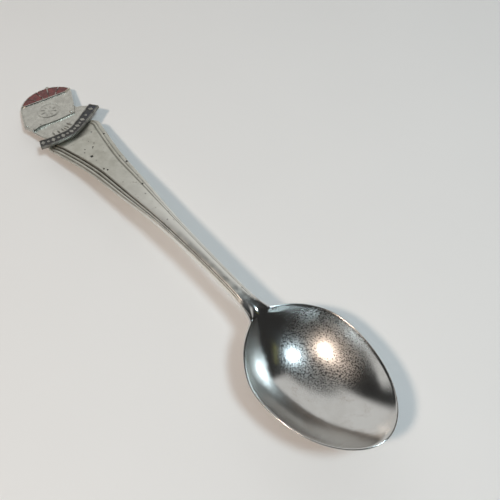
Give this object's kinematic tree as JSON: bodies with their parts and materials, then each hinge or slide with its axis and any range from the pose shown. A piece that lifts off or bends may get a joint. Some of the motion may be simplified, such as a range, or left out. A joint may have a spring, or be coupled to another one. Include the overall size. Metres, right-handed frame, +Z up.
{
  "type": "souvenir spoon",
  "caption": "Small souvenir teaspoon with a threaded handle border and a struck, enamelled crest and scroll soldered on the handle's end.",
  "frame": {"origin": "on the table under the middle of the spoon's length, with the spoon lying face up", "axes": "+X from the bowl's tip towards the badge, +Y across the spoon, +Z up"},
  "size_m": [0.1188, 0.0232, 0.01],
  "materials": {
    "plated_steel": "polished bowl, satin tarnished handle",
    "solder": "dull",
    "badge_metal": "satin, tarnished in the recesses",
    "red_enamel": "glossy, opaque",
    "dark_enamel": "glossy, opaque"
  },
  "bodies": {
    "root": {"spoon_body": "plated_steel", "solder_joint": "solder", "badge_plate": "badge_metal", "red_enamel_1": "red_enamel", "red_enamel_2": "red_enamel", "red_enamel_3": "red_enamel", "red_enamel_4": "red_enamel", "red_enamel_5": "red_enamel", "scroll_enamel": "dark_enamel"}
  },
  "joints": []
}
